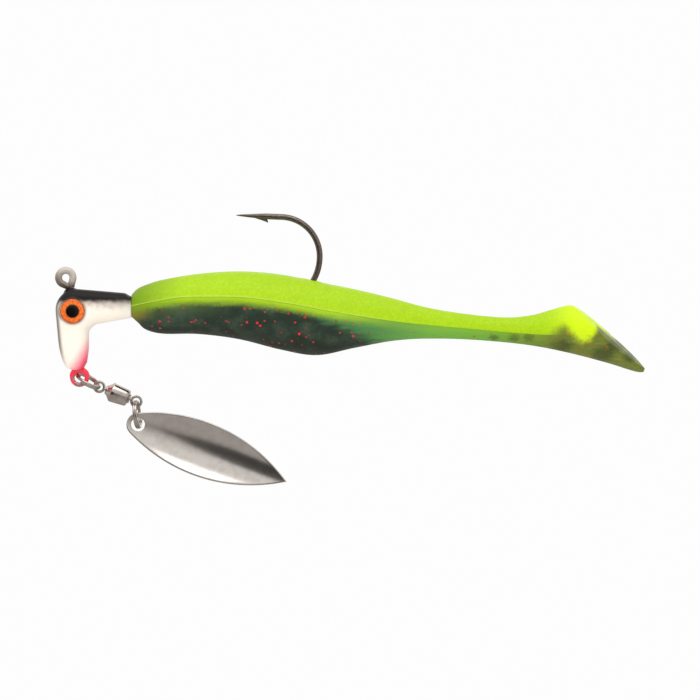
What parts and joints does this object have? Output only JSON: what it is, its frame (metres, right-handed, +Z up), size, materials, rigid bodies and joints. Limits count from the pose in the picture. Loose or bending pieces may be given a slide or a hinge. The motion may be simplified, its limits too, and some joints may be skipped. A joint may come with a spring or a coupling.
{
  "type": "spinnerbait",
  "caption": "Underspin jig with a cast head, an upward hook, a two-tone soft paddle-tail bait and a willow-leaf blade that turns on a barrel swivel under the chin.",
  "frame": {"origin": "centre of the hole in the line eye", "axes": "+X from the nose to the tail, +Z up on the hook point's side, +Y to the far side along the line eye's hole"},
  "size_m": [0.1019, 0.0106, 0.0471],
  "materials": {
    "head_paint": "gloss",
    "hook_steel": "satin",
    "eyelet_paint": "gloss",
    "iris_paint": "gloss",
    "pupil_paint": "gloss",
    "ring_nickel": "polished",
    "barrel_nickel": "satin",
    "blade_nickel": "polished",
    "back_plastic": "satin",
    "belly_plastic": "satin"
  },
  "bodies": {
    "root": {"jig_head": "head_paint", "hook": "hook_steel", "spinner_eyelet": "eyelet_paint", "iris_near": "iris_paint", "iris_far": "iris_paint", "pupil_near": "pupil_paint", "pupil_far": "pupil_paint", "bait_back": "back_plastic", "bait_belly": "belly_plastic"},
    "front_ring": {"front_split_ring": "ring_nickel"},
    "front_eye": {"swivel_front_eye": "ring_nickel"},
    "barrel": {"swivel_barrel": "barrel_nickel"},
    "rear_eye": {"swivel_rear_eye": "ring_nickel"},
    "rear_ring": {"rear_split_ring": "ring_nickel"},
    "blade_body": {"blade": "blade_nickel"},
    "tail": {"tail_back": "back_plastic", "tail_belly": "belly_plastic"}
  },
  "joints": [
    {"name": "front_ring_swing", "type": "hinge", "parent": "root", "child": "front_ring", "pos_m": [0.00239, 0, -0.0173], "axis": [0, 1, 0], "range_deg": [-6, 55]},
    {"name": "front_eye_swing", "type": "hinge", "parent": "front_ring", "child": "front_eye", "pos_m": [0.00574, 0.00146, -0.01896], "axis": [0, 1, 0], "range_deg": [-6, 40]},
    {"name": "barrel_spin", "type": "hinge", "parent": "front_eye", "child": "barrel", "pos_m": [0.00574, 0.00146, -0.01896], "axis": [0.9304, 0, -0.3665], "continuous": true},
    {"name": "rear_eye_spin", "type": "hinge", "parent": "barrel", "child": "rear_eye", "pos_m": [0.01217, 0.00146, -0.02149], "axis": [0.9304, 0, -0.3665], "continuous": true},
    {"name": "rear_ring_swing", "type": "hinge", "parent": "rear_eye", "child": "rear_ring", "pos_m": [0.01217, 0.00146, -0.02149], "axis": [0, 1, 0], "range_deg": [-8, 40]},
    {"name": "blade_swing", "type": "hinge", "parent": "rear_ring", "child": "blade_body", "pos_m": [0.01248, 0.00146, -0.02598], "axis": [0, 1, 0], "range_deg": [-10, 60]},
    {"name": "tail_wag", "type": "hinge", "parent": "root", "child": "tail", "pos_m": [0.06248, 0, -0.0079], "axis": [0, 0, 1], "range_deg": [-32, 32], "stiffness_Nm_per_rad": 0.004}
  ]
}
